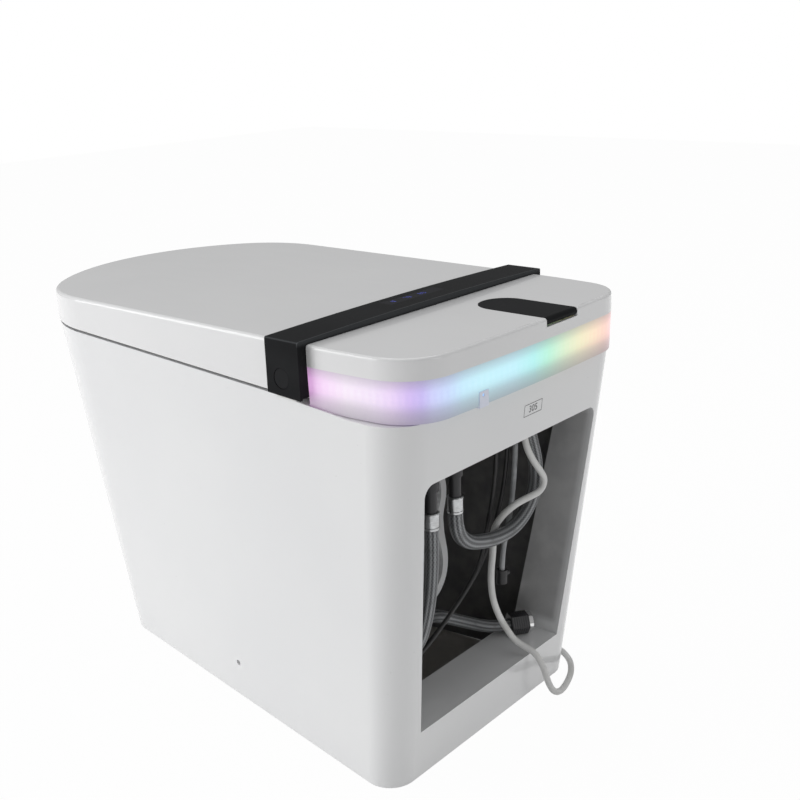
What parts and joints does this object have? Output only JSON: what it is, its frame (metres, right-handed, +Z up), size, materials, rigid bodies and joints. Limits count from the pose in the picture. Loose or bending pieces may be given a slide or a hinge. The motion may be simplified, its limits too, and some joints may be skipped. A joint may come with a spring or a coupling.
{
  "type": "smart toilet",
  "caption": "One-piece electronic toilet with a heated seat, soft-close lid, black control strap, lit rear band and an open service bay with hoses and cord.",
  "frame": {"origin": "on the floor under the middle of the toilet, without its inlet hose, cord and plug", "axes": "+Z up, the user faces -Y, the wall is at +Y, the side button is on +X"},
  "size_m": [0.4777, 0.641, 0.4825],
  "materials": {
    "ceramic": "gloss glaze, white vitreous china",
    "seal_rubber": "matt moulded rubber",
    "chassis_plastic": "satin moulded white",
    "bolt_steel": "plain stainless",
    "black_plastic": "satin black",
    "display_glass": "smoked, polished",
    "circuit_board": "solder mask",
    "button_plastic": "satin dark ring and cap",
    "cover_plastic": "gloss white",
    "pin_steel": "ground stainless",
    "band_diffuser": "milky diffuser lit from inside",
    "led_board": "white flexible board",
    "tab_plastic": "milky white",
    "seat_plastic": "gloss white",
    "heater_foil": "foil with heating wire",
    "buffer_rubber": "soft grey-white",
    "lid_plastic": "gloss white",
    "damper_plastic": "matt black",
    "wand_steel": "polished stainless tube",
    "wand_plastic": "gloss white",
    "motor_metal": "drawn can",
    "duct_plastic": "satin moulded grey-white",
    "fan_plastic": "matt black",
    "tank_plastic": "milky translucent",
    "heater_plastic": "matt dark grey",
    "valve_plastic": "satin moulded white",
    "ferrule_steel": "crimped stainless",
    "braid_hose": "braided sleeve over rubber",
    "nut_plastic": "matt black",
    "ring_metal": "bright plated",
    "cable_black": "soft black sheath",
    "sensor_plastic": "matt black",
    "drain_grey": "soft grey tube",
    "cord_white": "soft white sheath"
  },
  "bodies": {
    "root": {"band_sensor_tab": "tab_plastic", "base_plate": "chassis_plastic", "blower_housing": "duct_plastic", "blower_motor": "motor_metal", "bolt_nuts": "bolt_steel", "button_switch": "chassis_plastic", "ceramic_pan": "ceramic", "control_board": "circuit_board", "control_box": "chassis_plastic", "cord_coil": "cord_white", "cord_gland": "cord_white", "detergent_tank": "tank_plastic", "display_board": "circuit_board", "display_window": "display_glass", "drain_tube": "drain_grey", "drain_valve": "cable_black", "dryer_duct": "duct_plastic", "dryer_flap_pin": "pin_steel", "filler_flap_pin": "pin_steel", "foot_sensor": "sensor_plastic", "inlet_ferrule": "ferrule_steel", "inlet_hose": "braid_hose", "inlet_nut": "nut_plastic", "inlet_valve": "valve_plastic", "inlet_washer": "ring_metal", "jet_ferrule": "ferrule_steel", "jet_hose": "braid_hose", "jet_port": "valve_plastic", "jet_valve": "valve_plastic", "led_strip": "led_board", "lid_damper": "damper_plastic", "light_band": "band_diffuser", "outlet_seal": "seal_rubber", "plug": "cord_white", "power_cord": "cord_white", "rear_cover": "cover_plastic", "seat_damper": "damper_plastic", "sensor_cable_a": "cable_black", "sensor_cable_b": "cable_black", "strap_cover": "black_plastic", "unit_bolts": "bolt_steel", "wand_guide": "chassis_plastic", "wand_motors": "motor_metal", "water_heater": "heater_plastic"},
    "seat": {"seat_upper_shell": "seat_plastic", "seat_lower_shell": "seat_plastic", "seat_heater": "heater_foil", "seat_buffers": "buffer_rubber", "seat_hinge_pin": "pin_steel"},
    "lid": {"lid_panel": "lid_plastic", "lid_buffers": "buffer_rubber", "lid_hinge_pin": "pin_steel"},
    "rear_wand": {"rear_wash_wand": "wand_steel", "rear_wand_tip": "wand_plastic"},
    "front_wand": {"front_wash_wand": "wand_steel", "front_wand_tip": "wand_plastic"},
    "dryer_door": {"dryer_flap": "duct_plastic"},
    "filler_door": {"filler_flap": "black_plastic"},
    "button": {"side_button": "button_plastic"},
    "fan": {"blower_fan": "fan_plastic"}
  },
  "joints": [
    {"name": "seat_hinge", "type": "hinge", "parent": "root", "child": "seat", "pos_m": [0, 0.131, 0.465], "axis": [1, 0, 0], "range_deg": [-95, 0]},
    {"name": "lid_hinge", "type": "hinge", "parent": "seat", "child": "lid", "pos_m": [0, 0.131, 0.465], "axis": [-1, 0, 0], "range_deg": [0, 100]},
    {"name": "rear_wand_slide", "type": "slide", "parent": "root", "child": "rear_wand", "axis": [0, -0.9272, -0.3746], "range_m": [0, 0.11]},
    {"name": "front_wand_slide", "type": "slide", "parent": "root", "child": "front_wand", "axis": [0, -0.9272, -0.3746], "range_m": [0, 0.11]},
    {"name": "dryer_flap_hinge", "type": "hinge", "parent": "root", "child": "dryer_door", "pos_m": [-0.041, 0.07962, 0.40932], "axis": [-1, 0, 0], "range_deg": [0, 60], "stiffness_Nm_per_rad": 0.0005, "springref_deg": -17.19},
    {"name": "filler_flap_hinge", "type": "hinge", "parent": "root", "child": "filler_door", "pos_m": [-0.0454, 0.31521, 0.4712], "axis": [-1, 0, 0], "range_deg": [0, 85]},
    {"name": "side_button_press", "type": "slide", "parent": "root", "child": "button", "axis": [-1, 0, 0], "range_m": [0, 0.0015], "stiffness_N_per_m": 500, "springref_m": -0.001},
    {"name": "fan_spin", "type": "hinge", "parent": "root", "child": "fan", "pos_m": [-0.132, 0.206, 0.44], "axis": [0, 0, 1], "continuous": true}
  ]
}
